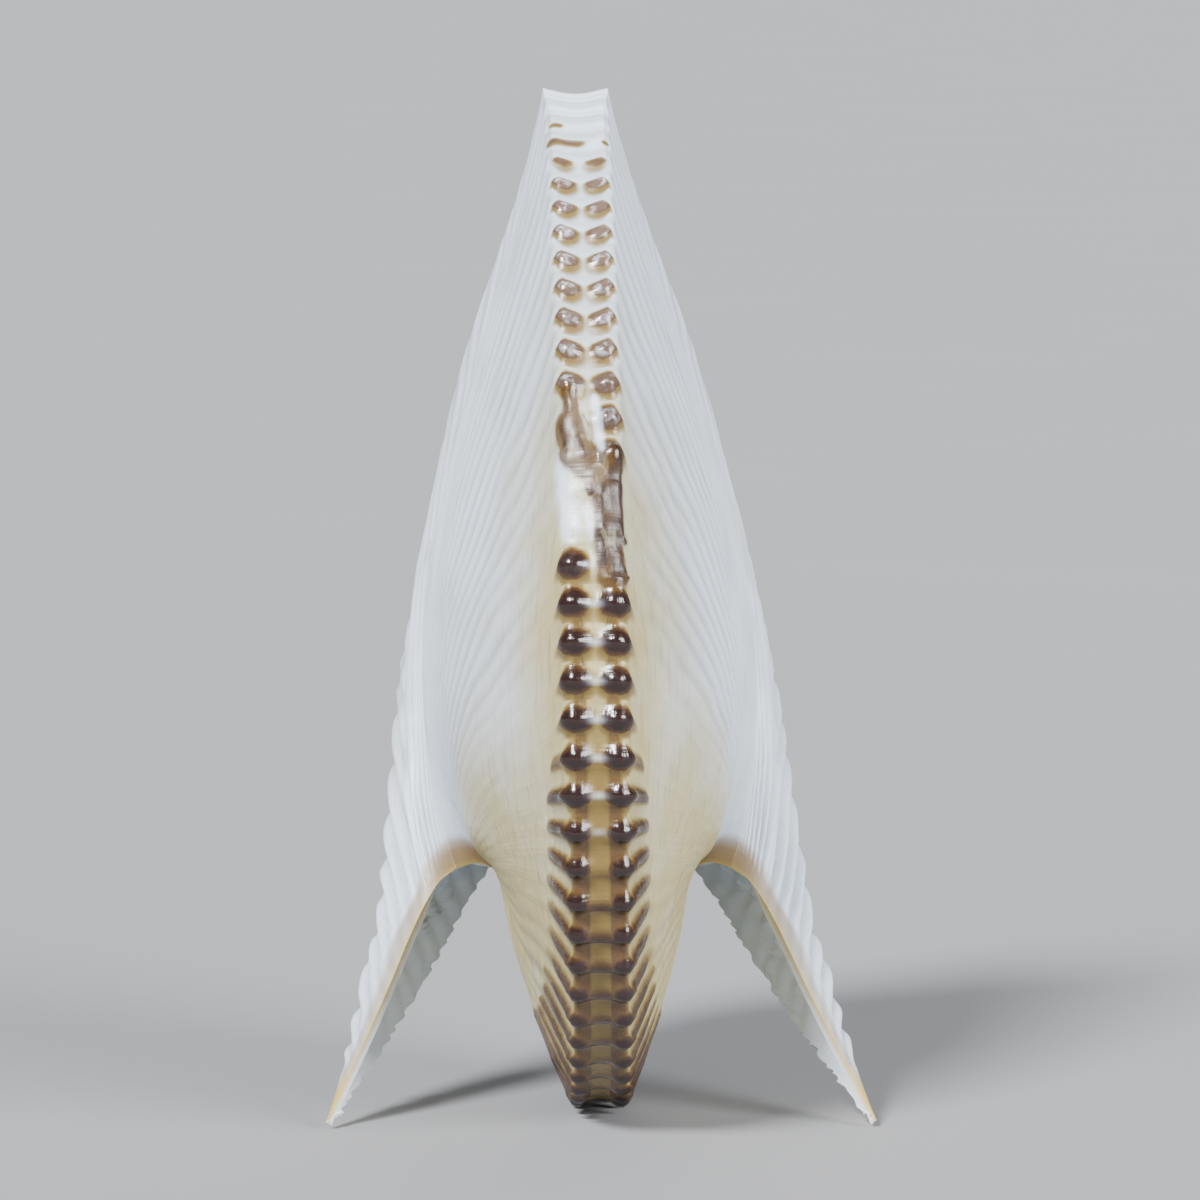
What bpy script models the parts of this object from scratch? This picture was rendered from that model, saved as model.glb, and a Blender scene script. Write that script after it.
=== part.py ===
"""Paper nautilus shell, standing on its two ears and the bottom of its coil.

One thin calcite sheet: a coil with a narrow keel, two ribbed flanks and two ears.
Metres, +Z up, +X to the right, the keel faces -Y and the aperture faces +Y.
"""

import math

import bpy
import numpy as np

MM = 0.001

# The spiral of the keel, about an axis parallel to X.
# Angles run from straight down (0) through the front (90) to the top (180).
KEEL_RADIUS_BELOW = 27.5 * MM
KEEL_GROWTH = 0.375
KEEL_START = math.radians(-270)
KEEL_SPLIT = math.radians(70)
KEEL_END = math.radians(180)
KEEL_HALF_WIDTH_END = 3.6 * MM
KEEL_WIDTH_POWER = 0.18
KEEL_LEAN = 1.9 * MM

# Half the coil's breadth as a share of the keel's radius, at angles in degrees.
BREADTH = [(-270, 0.35), (-60, 0.36), (0, 0.35), (40, 0.295), (90, 0.255), (180, 0.24)]
# Where a rib's guide points lie between the axis and the keel, as shares of the keel's radius.
SEAM_OUT = 0.12
SEAM_REACH = 0.085
SHOULDER_REACH = 0.04
FLANK_REACH = 0.56
# How far the guides stand out, as shares of the coil's half breadth.
SHOULDER_OUT = 1.29
FLANK_OUT = 0.755
# The first turn of the coil rounds off to a small end over this angle, about the whorl's middle.
APEX_CAP = math.radians(70)
APEX_SIZE = 0.12
WHORL_MIDDLE = 0.55

# Tubercles on the two edges of the keel, one pair to each rib.
TUBERCLE_SPACING = 4.35 * MM
TUBERCLE_HEIGHT = 0.9 * MM
TUBERCLE_SPLAY = (0.35, 0.94)
TUBERCLE_INNER_SHARE = 0.35
TUBERCLE_FULL_RADIUS = 24 * MM
EARLY_SPACING_POWER = 0.6
KEEL_HOLLOW = 0.25 * MM

# Ribs and walls. A rib is at its full height where the ribs are this far apart.
RIB_HEIGHT = 0.22 * MM
RIB_FULL_SPACING = 2.6 * MM
EAR_RIB_HEIGHT = 0.4 * MM
EAR_RIBS = 15
FAN_POWER = 2.1
WALL = 0.55 * MM
APEX_WALL_SHARE = 0.35
RIBBON = 1.6 * MM
RIBBON_TIP = 0.8 * MM
COLUMNS = 6
KEEL_COLUMNS = 4

# The thickened margin on the right side, in millimetres from the axis: over the arch, then down the ear.
ARCH = [
    (8.6, -4.8, -4.6),
    (11.2, -7.2, -2.9),
    (13.6, -9.6, -1.2),
    (16.2, -12.0, -0.6),
]
EAR_FRONT = [
    (16.2, -12.0, -0.6),
    (19.2, -13.8, -2.4),
    (22.2, -16.2, -7.4),
    (25.0, -19.5, -13.6),
    (28.4, -23.5, -22.5),
    (31.9, -27.0, -29.80),
]
# The free margin of the aperture, from the end of the keel to the tip of the ear.
EAR_BACK = [
    (3.6, 0.0, 89.3),
    (7.7, 2.0, 76.8),
    (15.1, 7.5, 54.0),
    (19.6, 12.0, 31.0),
    (19.6, 13.0, 17.0),
    (15.6, 11.6, 6.0),
    (11.8, 9.0, -2.0),
    (15.6, 4.0, -8.8),
    (20.0, -3.0, -16.0),
    (25.2, -13.0, -23.0),
    (31.1, -26.0, -29.6),
]
# How far a rib swells outwards after each end, in millimetres.
# Stage 0 is the split, 1 the end of the keel and 2 the tip of the ear.
SWELL_FRONT = [(0, 10.5), (0.6, 12.5), (1, 11.0), (1.2, 6.2), (1.4, 3.0), (1.6, 3.9), (1.8, 3.8), (2, 0.2)]
SWELL_BACK = [(0, 8.0), (0.6, 8.0), (1, 6.0), (1.2, 3.6), (1.4, 2.2), (1.6, 9.0), (1.8, 7.0), (2, 0.2)]

SHELL_COLOUR = (0.80, 0.78, 0.70, 1.0)


def keel_radius(angle):
    return KEEL_RADIUS_BELOW * math.exp(KEEL_GROWTH * angle)


def keel_half_width(angle):
    return KEEL_HALF_WIDTH_END * (keel_radius(angle) / keel_radius(KEEL_END)) ** KEEL_WIDTH_POWER


def spoke(angle, out, distance):
    """A point at a distance from the axis, in the direction of an angle."""
    return np.array([out, -distance * math.sin(angle), -distance * math.cos(angle)])


def blend(knots, values, at):
    """Smooth curve through values at their knots (Catmull-Rom)."""
    values = np.asarray(values, dtype=float)
    at = min(max(at, knots[0]), knots[-1])
    i = min(int(np.searchsorted(knots, at, side="right")) - 1, len(knots) - 2)
    step = knots[i + 1] - knots[i]
    slopes = []
    for k in (i, i + 1):
        low = max(k - 1, 0)
        high = min(k + 1, len(knots) - 1)
        slopes.append((values[high] - values[low]) / (knots[high] - knots[low]))
    f = (at - knots[i]) / step
    return ((2 * f**3 - 3 * f**2 + 1) * values[i] + (f**3 - 2 * f**2 + f) * step * slopes[0]
            + (3 * f**2 - 2 * f**3) * values[i + 1] + (f**3 - f**2) * step * slopes[1])


def along(points, share):
    """The point at a share of the length of a smooth path given in millimetres."""
    points = np.array(points) * MM
    lengths = np.concatenate([[0.0], np.cumsum(np.linalg.norm(np.diff(points, axis=0), axis=1))])
    return blend(lengths / lengths[-1], points, share)


def swell(table, stage):
    knots = [row[0] for row in table]
    return float(blend(knots, [row[1] * MM for row in table], stage))


def coil_guides(angle):
    """Four guide points of a rib on the coil: seam, shoulder, flank, keel edge."""
    radius = keel_radius(angle)
    knots = [row[0] for row in BREADTH]
    half = radius * float(blend(knots, [row[1] for row in BREADTH], math.degrees(angle)))
    edge = keel_half_width(angle)
    return [
        spoke(angle, SEAM_OUT * radius, SEAM_REACH * radius),
        spoke(angle, SHOULDER_OUT * half, SHOULDER_REACH * radius),
        spoke(angle, edge + FLANK_OUT * (half - edge), FLANK_REACH * radius),
        spoke(angle, edge, radius),
    ]


def fan_guides(angle):
    """A rib from the arch to the keel. At the split it is the coil's own rib."""
    stage = (angle - KEEL_SPLIT) / (KEEL_END - KEEL_SPLIT)
    seam = coil_guides(KEEL_SPLIT)[0] / MM
    start = along([tuple(seam)] + ARCH, stage)
    end = spoke(angle, keel_half_width(angle), keel_radius(angle))
    plain = swollen(start, end, stage)
    coil = coil_guides(angle)
    share = min(stage / 0.5, 1.0)
    share = share * share * (3 - 2 * share)
    return [start, coil[1] * (1 - share) + plain[1] * share, coil[2] * (1 - share) + plain[2] * share, end]


def swollen(start, end, stage):
    third = start + (end - start) / 3
    two_thirds = start + (end - start) * 2 / 3
    third[0] = start[0] + swell(SWELL_FRONT, stage)
    two_thirds[0] = end[0] + swell(SWELL_BACK, stage)
    return [start, third, two_thirds, end]


def ear_guides(share):
    """A rib from the ribbon to the free margin of the aperture."""
    return swollen(along(EAR_FRONT, share**FAN_POWER), along(EAR_BACK, share), 1.0 + share)


def rib_points(guides):
    """Points along a rib from the ribbon or seam to the keel or margin."""
    points = []
    for column in range(COLUMNS + 1):
        f = column / COLUMNS
        a, b, c, d = guides
        points.append((1 - f)**3 * a + 3 * (1 - f)**2 * f * b + 3 * (1 - f) * f**2 * c + f**3 * d)
    return points


def keel_angles():
    """Two rows to each tubercle, counted back from the end of the keel."""
    angles = [KEEL_END]
    while angles[-1] > KEEL_START:
        radius = keel_radius(angles[-1])
        spacing = TUBERCLE_SPACING * min(1.0, (radius / TUBERCLE_FULL_RADIUS) ** EARLY_SPACING_POWER)
        angles.append(angles[-1] - 0.5 * spacing / (radius * math.hypot(1.0, KEEL_GROWTH)))
    return angles[::-1]


def early_share(angle):
    """Tubercles and walls are smaller on the early coil."""
    return min(1.0, keel_radius(angle) / TUBERCLE_FULL_RADIUS)


def band_points(angle, raised):
    """Points across the keel between its two edges, from right to left."""
    radius = keel_radius(angle)
    half = keel_half_width(angle)
    hollow = KEEL_HOLLOW * early_share(angle)
    points = []
    for column in range(1, KEEL_COLUMNS):
        across = 1 - 2 * column / KEEL_COLUMNS
        height = raised * TUBERCLE_INNER_SHARE * abs(across) - hollow * (1 - across**2)
        points.append(spoke(angle, half * across, radius + height))
    return points


def mirrored(point):
    return np.array([-point[0], point[1], point[2]])


def rib_offsets(rows, heights):
    """Moves each row's points along the sheet's normal, up on a rib and down between ribs."""
    grid = np.array(rows)
    along_rows = np.gradient(grid, axis=0)
    along_columns = np.gradient(grid, axis=1)
    normals = np.cross(along_rows, along_columns)
    normals /= np.maximum(np.linalg.norm(normals, axis=2, keepdims=True), 1e-12)
    rib_spacing = 2 * np.linalg.norm(along_rows, axis=2)
    room = np.minimum(1.0, rib_spacing / RIB_FULL_SPACING)
    return grid + normals * (heights * room)[:, :, None]


def on_rib(row, keel_rows):
    """Every second row is a rib, and the keel ends between two ribs."""
    return (keel_rows - 1 - row) % 2 == 1


def half_grid():
    """The right half of the sheet as rows of points, with the row where the keel ends."""
    angles = keel_angles()
    rows = []
    for angle in angles:
        guides = coil_guides(angle) if angle < KEEL_SPLIT else fan_guides(angle)
        rows.append(rib_points(guides))
    keel_rows = len(rows)
    for step in range(1, 2 * EAR_RIBS + 1):
        rows.append(rib_points(ear_guides(step / (2 * EAR_RIBS))))
    heights = np.zeros((len(rows), COLUMNS + 1))
    for row in range(len(rows)):
        up = 1 if on_rib(row, keel_rows) else -1
        for column in range(COLUMNS + 1):
            if row < keel_rows:
                heights[row, column] = up * RIB_HEIGHT * math.sin(math.pi * column / COLUMNS) ** 0.5
            else:
                heights[row, column] = up * EAR_RIB_HEIGHT * math.sin(0.5 * math.pi * column / COLUMNS)
    grid = rib_offsets(rows, heights)
    for row, angle in enumerate(angles):
        if on_rib(row, keel_rows):
            grid[row, COLUMNS] += spoke(angle, *TUBERCLE_SPLAY) * TUBERCLE_HEIGHT * early_share(angle)
    return grid, angles


def close_apex(grid, band, angles):
    """Rounds the first rows of the coil down to a small end."""
    for row, angle in enumerate(angles):
        turn = (angle - angles[0]) / APEX_CAP
        if turn >= 1:
            break
        scale = APEX_SIZE + (1 - APEX_SIZE) * math.sqrt(1 - (1 - turn) ** 2)
        middle = spoke(angle, 0.0, WHORL_MIDDLE * keel_radius(angle))
        grid[row] = middle + (grid[row] - middle) * scale
        band[row] = [middle + (point - middle) * scale for point in band[row]]


def leaning(point):
    """The whole sheet leans a little to the left towards the top."""
    return (point[0] - KEEL_LEAN * point[2] / keel_radius(KEEL_END), point[1], point[2])


def sheet_mesh():
    grid, angles = half_grid()
    keel_rows = len(angles)
    bands = []
    for row, angle in enumerate(angles):
        raised = TUBERCLE_HEIGHT * early_share(angle) if on_rib(row, keel_rows) else 0.0
        bands.append(band_points(angle, raised))
    close_apex(grid, bands, angles)
    vertices = []
    weights = []
    lines = []
    for row in range(len(grid)):
        right = [len(vertices) + i for i in range(COLUMNS + 1)]
        vertices += [leaning(point) for point in grid[row]]
        weights += row_weights(row, angles)
        left = [len(vertices) + i for i in range(COLUMNS + 1)]
        vertices += [leaning(mirrored(point)) for point in grid[row]]
        weights += row_weights(row, angles)
        across = []
        if row < keel_rows:
            across = [len(vertices) + i for i in range(KEEL_COLUMNS - 1)]
            vertices += [leaning(point) for point in bands[row]]
            weights += [wall_share(row, angles)] * (KEEL_COLUMNS - 1)
        lines.append((right, across, left))
    faces = []
    for low, high in zip(lines[:-1], lines[1:]):
        if high[1]:
            low_line = low[0] + low[1] + low[2][::-1]
            high_line = high[0] + high[1] + high[2][::-1]
            faces += strip(low_line, high_line)
        else:
            faces += strip(low[0], high[0])
            faces += strip(low[2][::-1], high[2][::-1])
    first = lines[0][0] + lines[0][1] + lines[0][2][::-1]
    faces.append(first)
    return vertices, faces, weights


def strip(low_line, high_line):
    return [(low_line[i + 1], low_line[i], high_line[i], high_line[i + 1]) for i in range(len(low_line) - 1)]


def wall_share(row, angles):
    """The wall's thickness as a share of the ribbon's."""
    if row >= len(angles):
        return WALL / RIBBON
    return WALL / RIBBON * (APEX_WALL_SHARE + (1 - APEX_WALL_SHARE) * early_share(angles[row]))


def row_weights(row, angles):
    share = wall_share(row, angles)
    weights = [share] * (COLUMNS + 1)
    if row >= len(angles):
        down_ear = (row - len(angles) + 1) / (2 * EAR_RIBS)
        weights[0] = 1.0 + (RIBBON_TIP / RIBBON - 1.0) * down_ear
    elif angles[row] > KEEL_SPLIT:
        along_arch = min(1.0, 1.5 * (angles[row] - KEEL_SPLIT) / (KEEL_END - KEEL_SPLIT))
        weights[0] = share + (1 - share) * along_arch
    return weights


def shell_material():
    material = bpy.data.materials.new("shell calcite")
    material.use_nodes = True
    shader = material.node_tree.nodes["Principled BSDF"]
    shader.inputs["Base Color"].default_value = SHELL_COLOUR
    shader.inputs["Roughness"].default_value = 0.35
    shader.inputs["Metallic"].default_value = 0.0
    return material


def make_shell(collection):
    vertices, faces, weights = sheet_mesh()
    mesh = bpy.data.meshes.new("shell")
    mesh.from_pydata(vertices, [], faces)
    shell = bpy.data.objects.new("shell", mesh)
    collection.objects.link(shell)
    group = shell.vertex_groups.new(name="wall")
    for index, weight in enumerate(weights):
        group.add([index], weight, "REPLACE")
    wall = shell.modifiers.new("wall", "SOLIDIFY")
    wall.thickness = RIBBON
    wall.offset = -1.0
    wall.vertex_group = "wall"
    wall.use_even_offset = False
    shell.data.materials.append(shell_material())
    return shell


def stand_on_floor(shell):
    """Puts the lowest point on the floor and the middle of the box over the origin."""
    evaluated = shell.evaluated_get(bpy.context.evaluated_depsgraph_get())
    mesh = evaluated.to_mesh()
    points = np.array([vertex.co[:] for vertex in mesh.vertices])
    evaluated.to_mesh_clear()
    low, high = points.min(axis=0), points.max(axis=0)
    move = np.array([-(low[0] + high[0]) / 2, -(low[1] + high[1]) / 2, -low[2]])
    for vertex in shell.data.vertices:
        vertex.co = tuple(np.array(vertex.co[:]) + move)


def main():
    for item in list(bpy.data.objects):
        bpy.data.objects.remove(item, do_unlink=True)
    collection = bpy.data.collections.new("paper nautilus shell")
    bpy.context.scene.collection.children.link(collection)
    shell = make_shell(collection)
    bpy.context.view_layer.update()
    stand_on_floor(shell)


main()
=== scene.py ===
"""Paper nautilus shell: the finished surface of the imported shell, on a plain floor.

A smooth sheet is laid out by the spiral of the keel, a Geometry Nodes tree raises its ribs and keel knobs,
and Solidify gives it its wall. Metres, +Z up, the keel faces -Y and the aperture faces +Y.
"""

import math

import bpy
import numpy as np
from bpy.props import FloatProperty, FloatVectorProperty, IntProperty, PointerProperty
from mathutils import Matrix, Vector


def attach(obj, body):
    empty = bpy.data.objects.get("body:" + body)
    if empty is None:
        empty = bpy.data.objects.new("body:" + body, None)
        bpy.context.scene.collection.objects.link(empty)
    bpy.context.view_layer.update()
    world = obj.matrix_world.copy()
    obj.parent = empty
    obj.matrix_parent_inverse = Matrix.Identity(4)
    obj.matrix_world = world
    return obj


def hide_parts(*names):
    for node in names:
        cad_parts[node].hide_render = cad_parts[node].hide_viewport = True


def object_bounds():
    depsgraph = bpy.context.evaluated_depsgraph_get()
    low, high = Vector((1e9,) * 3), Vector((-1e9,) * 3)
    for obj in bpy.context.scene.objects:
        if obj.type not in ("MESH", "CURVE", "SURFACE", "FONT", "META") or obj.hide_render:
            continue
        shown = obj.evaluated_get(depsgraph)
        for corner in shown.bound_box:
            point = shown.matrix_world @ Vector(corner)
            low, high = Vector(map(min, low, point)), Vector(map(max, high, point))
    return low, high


bl_info = {
    "name": "Paper Nautilus Shell",
    "version": (1, 0, 0),
    "blender": (4, 5, 0),
    "location": "3D View > Sidebar > Shell",
    "description": "Builds the ribbed sheet, the keel knobs and the calcite finish of a paper nautilus shell",
    "category": "Add Mesh",
}

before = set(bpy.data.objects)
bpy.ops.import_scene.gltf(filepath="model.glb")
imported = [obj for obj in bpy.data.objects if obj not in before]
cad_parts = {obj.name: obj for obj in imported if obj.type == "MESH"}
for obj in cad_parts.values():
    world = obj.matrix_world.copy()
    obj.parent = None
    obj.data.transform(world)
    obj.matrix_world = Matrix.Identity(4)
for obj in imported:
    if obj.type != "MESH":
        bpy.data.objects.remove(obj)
CAD_LOW, CAD_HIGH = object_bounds()

MM = 0.001
MIRROR = np.array([-1, 1, 1])

# The spiral of the keel, about an axis parallel to X.
# Angles run from straight down (0) through the front (90) to the top (180).
KEEL_GROWTH = 0.375
KEEL_START = math.radians(-270)
KEEL_SPLIT = math.radians(70)
KEEL_END = math.radians(180)
KEEL_HALF_WIDTH_END = 3.6 * MM
KEEL_WIDTH_POWER = 0.18
# How hollow the keel is between its edges, and how much deeper it gets over its last stretch.
HOLLOW = 0.35 * MM
END_HOLLOW = 0.4 * MM
END_STRETCH = math.radians(9)
# The axis lies this far in from the low corner of the box, and the sheet leans left towards the top.
AXIS_FROM_LOW_CORNER = Vector((31.266, 53.882, 30.227)) * MM
KEEL_LEAN = 1.9 * MM

# Half the coil's breadth as a share of the keel's radius, at angles in degrees.
BREADTH = [(-270, 0.35), (-60, 0.36), (0, 0.37), (40, 0.32), (90, 0.26), (180, 0.24)]
# Where a rib's guide points lie between the axis and the keel, as shares of the keel's radius.
SEAM_OUT = 0.12
SEAM_REACH = 0.085
SHOULDER_REACH = 0.04
FLANK_REACH = 0.56
# How far the guides stand out, as shares of the coil's half breadth.
SHOULDER_OUT = 1.29
FLANK_OUT = 0.755
# The first turn of the coil rounds off to a small end over this angle, about the whorl's middle.
APEX_CAP = math.radians(70)
APEX_SIZE = 0.12
WHORL_MIDDLE = 0.55

# Knobs and ribs, one rib to each pair of knobs. The last rib ends just short of the keel's end.
KNOB_SPACING = 4.35 * MM
KNOB_FULL_RADIUS = 24 * MM
EARLY_SPACING_POWER = 0.6
END_PHASE = 0.77
EAR_RIBS = 22
EAR_RIB_POWER = 0.8
FAN_POWER = 2.1
RIB_FULL_SPACING = 1.8 * MM
EARLY_WALL_SHARE = 0.35

# Rows of the sheet to each rib, on the open part, on the hidden early coil and on the ears.
ROWS_PER_RIB = 9
ROWS_PER_EARLY_RIB = 2
EAR_ROWS = 216
EAR_ROW_POWER = 0.7
EARLY_COIL = math.radians(-25)
BAND_COLUMNS = 14
MIDDLE_COLUMNS = 17
# Each rib is measured at this many points, and the keel's corners are rounded in so many passes.
RIB_SAMPLES = 400
ROUNDING_PASSES = 5
# Columns close to the ribbon and close to the keel or margin, in millimetres from that edge.
RIBBON_STEPS = np.array([0.0, 0.6, 1.3, 2.1, 3.0, 4.1]) * MM
EDGE_STEPS = np.array([0.0, 0.42, 0.84, 1.26, 1.7, 2.15, 2.65, 3.2, 3.85, 4.6, 5.6, 7.0]) * MM
SHORT_RIB = 30 * MM

# The thickened margin on the right side, in millimetres from the axis: over the arch, then down the ear.
ARCH = [
    (8.6, -4.8, -4.6),
    (11.0, -7.1, -3.3),
    (13.6, -9.7, -1.9),
    (16.2, -12.0, -2.2),
]
EAR_FRONT = [
    (16.2, -12.0, -2.2),
    (18.5, -13.7, -3.8),
    (21.2, -16.2, -8.2),
    (24.4, -19.6, -15.0),
    (28.0, -23.4, -22.2),
    (32.0, -27.0, -29.85),
]
# The free margin of the aperture, from the end of the keel to the tip of the ear.
EAR_BACK = [
    (3.6, 0.0, 89.3),
    (7.1, 2.0, 76.8),
    (14.8, 7.5, 54.0),
    (19.6, 12.0, 31.0),
    (19.6, 13.0, 17.0),
    (15.6, 11.6, 6.0),
    (11.8, 9.0, -2.0),
    (15.6, 4.0, -8.8),
    (20.0, -3.0, -16.0),
    (25.2, -13.0, -23.0),
    (31.1, -26.0, -29.6),
]
# How far a rib swells outwards after each end, in millimetres.
# Stage 0 is the split, 1 the end of the keel and 2 the tip of the ear.
SWELL_FRONT = [(0, 10.5), (0.6, 12.5), (1, 11.0), (1.2, 6.2), (1.4, 3.4), (1.5, 3.8), (1.6, 6.8),
               (1.7, 7.4), (1.8, 4.4), (2, 0.2)]
SWELL_BACK = [(0, 8.0), (0.6, 8.0), (1, 6.0), (1.2, 4.0), (1.4, 3.6), (1.6, 6.4), (1.8, 6.0), (2, 0.2)]
# Bold ribs that run up and outwards over the outer face of each ear: the direction across them, as outwards,
# back and up, and their spacing.
OBLIQUE = (0.94, 0.15, -0.342)
OBLIQUE_SPACING = 1.8 * MM

# How the knobs change down the keel. Each row is a rib number, then in millimetres: how far beyond the keel's
# edge the knob's middle lies, its half width inwards and outwards, its half length along the keel, and the
# length and half width of the lobe that runs from it along the rib.
KNOB_STAGES = [
    (5, -1.3, 1.5, 1.15, 0.95, 0.0, 0.5),
    (12, -1.25, 1.7, 1.3, 1.25, 0.0, 0.5),
    (16, -1.1, 1.65, 2.1, 1.7, 0.0, 0.6),
    (19, -1.05, 1.85, 2.4, 1.75, 0.0, 0.7),
    (22, -1.05, 1.9, 2.6, 1.6, 2.6, 0.9),
    (24, -0.9, 1.65, 2.2, 1.5, 5.6, 1.0),
    (27, -0.6, 1.4, 1.5, 1.45, 7.2, 1.2),
    (30, -0.45, 1.3, 1.2, 1.35, 9.0, 1.3),
    (36, -0.4, 1.3, 1.1, 1.2, 12.0, 1.1),
]
LOBE_START = 0.4
# How far the ribs sweep up beside the keel: rib number, then rib spacings up for each spacing out.
SWEEP = [(22.5, 0.0), (24, 0.1), (25.5, 0.28), (28, 0.36), (31, 0.26), (36, 0.0)]
SWEEP_WIDTH = 8.5
# How far the outer end of an upper knob lies above its inner end, in rib spacings.
KNOB_LIFT = 0.13

# The healed scar, as strokes on the keel: rib number and millimetres from the keel's centre (left is minus)
# at the start and end of the stroke, then its radius in millimetres.
SCAR_TAN = [
    ((13.3, -2.2), (14.3, -2.0), 0.8),
    ((14.2, -2.6), (15.0, -1.8), 1.9),
    ((14.9, -1.2), (15.8, 1.2), 1.7),
    ((15.4, 1.9), (17.2, 2.1), 1.7),
    ((17.2, 2.2), (18.3, 2.3), 1.7),
    ((18.1, 3.7), (18.2, 3.8), 0.8),
]
SCAR_DARK = [
    ((14.2, -3.2), (14.9, -2.6), 0.5),
    ((14.6, -1.5), (15.1, -0.8), 0.45),
    ((14.9, 2.9), (15.6, 3.3), 0.7),
    ((15.6, 2.8), (17.1, 3.0), 1.2),
    ((16.0, 1.4), (17.9, 1.2), 0.9),
    ((17.1, 3.3), (17.3, 4.2), 0.45),
    ((17.3, 2.7), (18.3, 2.8), 1.1),
    ((18.1, 3.9), (18.2, 4.5), 0.4),
    ((15.9, -0.4), (16.1, -0.1), 0.4),
]
SCAR_WHITE = [
    ((15.3, -3.8), (17.0, -2.8), 2.4),
    ((13.4, 0.7), (15.2, 1.4), 0.75),
    ((14.1, -2.6), (14.4, -1.9), 0.6),
    ((16.5, -0.6), (17.2, 0.2), 0.9),
]
# The brown stain close to the end of the keel.
END_STAIN = [
    ((4.0, -3.4), (4.0, -2.7), 1.0),
    ((4.0, -1.7), (4.0, -0.2), 1.0),
    ((3.1, -3.3), (3.1, -2.2), 0.5),
    ((4.0, 3.2), (4.0, 3.5), 0.5),
]
# Rib numbers whose knob is lost or small, on the left and on the right of the keel.
LOST_LEFT = (13.5, 17.45)
LOST_RIGHT = (15.5, 18.3)
# The two corners of the keel's end flare out by this much, in the last ribs only.
HORN = 0.22 * MM
HORN_RIBS = 1.6
# The sheet is made this much smaller than the solid, so that its relief stays inside the solid's box.
FIT = 0.9925
# The free margin counts as this far away all along the keel's rows.
FAR_AWAY = 1.0

# Sizes of the uneven places, each as so many to the metre: how ribs stray (10.5 mm), slow waves (3.8 mm),
# lumps of the scar (2.1 mm), clouds of cream (14 mm), specks (1.1 mm) and clouds of the floor (111 mm).
WANDER_SIZE = 1 / 95
UNEVEN_SIZE = 1 / 260
LUMP_SIZE = 1 / 480
CLOUD_SIZE = 1 / 70
SPECK_SIZE = 1 / 900
FLOOR_CLOUD_SIZE = 1 / 9
# Streaks (0.7 mm wide, 8 mm long) and the scar's mottling (1.1 by 3 mm), as outwards, back and up.
STREAK_SIZE = (1 / 1400, 1 / 1400, 1 / 130)
MOTTLE_SIZE = (1 / 900, 1 / 900, 1 / 330)
# Growth lines: nine to a rib are about 0.5 mm apart, with waves of 11 mm, and four to a rib about 1.1 mm.
LINES_PER_RIB = 9.0
LINE_LENGTH = 1 / 90
END_LINES_PER_RIB = 4
# How dark the painted shade in the valleys between ribs is, from 0 to 1.
PAINTED_VALLEY_SHADE = 0.36
# How far the bold ribs stray, where a row of the lower keel starts and how far a knob's rim lies below it,
# all in rib spacings.
BOLD_WANDER = 1.6
ROW_PHASE = 0.7
RIM_DROP = 0.1
SCALLOPS_PER_RIB = 3.0

# Edges sharper than this stay crisp.
SHARP_ANGLE = math.radians(60)
FLOOR_HALF_WIDTH = 14.0

# Kinds of node that are used most, each with its settings.
TIMES, PLUS, MINUS, OVER, POWER, TIMES_PLUS, LARGER, COSINE, FRACTION, EXPONENT, ROUNDED, ABSOLUTE = (
    {"kind": "ShaderNodeMath", "operation": operation} for operation in (
        "MULTIPLY", "ADD", "SUBTRACT", "DIVIDE", "POWER", "MULTIPLY_ADD", "MAXIMUM", "COSINE", "FRACT",
        "EXPONENT", "ROUND", "ABSOLUTE"))
VECTOR_TIMES, VECTOR_PLUS, SCALED = (
    {"kind": "ShaderNodeVectorMath", "operation": operation} for operation in ("MULTIPLY", "ADD", "SCALE"))
RAMP = {"kind": "ShaderNodeMapRange"}
CURVE = {"kind": "ShaderNodeMapRange", "interpolation_type": "SMOOTHSTEP"}
MIX = {"kind": "ShaderNodeMix"}
COLOUR_MIX = {"kind": "ShaderNodeMix", "data_type": "RGBA", "out": 2}
NOISE = {"kind": "ShaderNodeTexNoise"}
NOISE_4D = {"kind": "ShaderNodeTexNoise", "noise_dimensions": "4D"}
STORED = {"kind": "GeometryNodeInputNamedAttribute", "out": "Attribute"}
# Nearly all values of a noise lie between these two.
MOST_NOISE = (0.3, 0.7)


def linear(hex_colour):
    """An sRGB hex colour as linear red, green and blue."""
    parts = [int(hex_colour[i:i + 2], 16) / 255 for i in (1, 3, 5)]
    return tuple(c / 12.92 if c <= 0.04045 else ((c + 0.055) / 1.055) ** 2.4 for c in parts)


def length_setting(name, description, millimetres, least=0.0):
    """A size that a user would change, with its default and its least value in millimetres."""
    return FloatProperty(name=name, description=description, default=millimetres * MM, min=least * MM,
                         unit="LENGTH")


def colour_setting(name, description, hex_colour):
    """A colour that a user would change."""
    return FloatVectorProperty(name=name, description=description, default=linear(hex_colour),
                               subtype="COLOR")


def strength_setting(name, description, default):
    """A light's strength that a user would change."""
    return FloatProperty(name=name, description=description, default=default, min=0.0)


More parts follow.
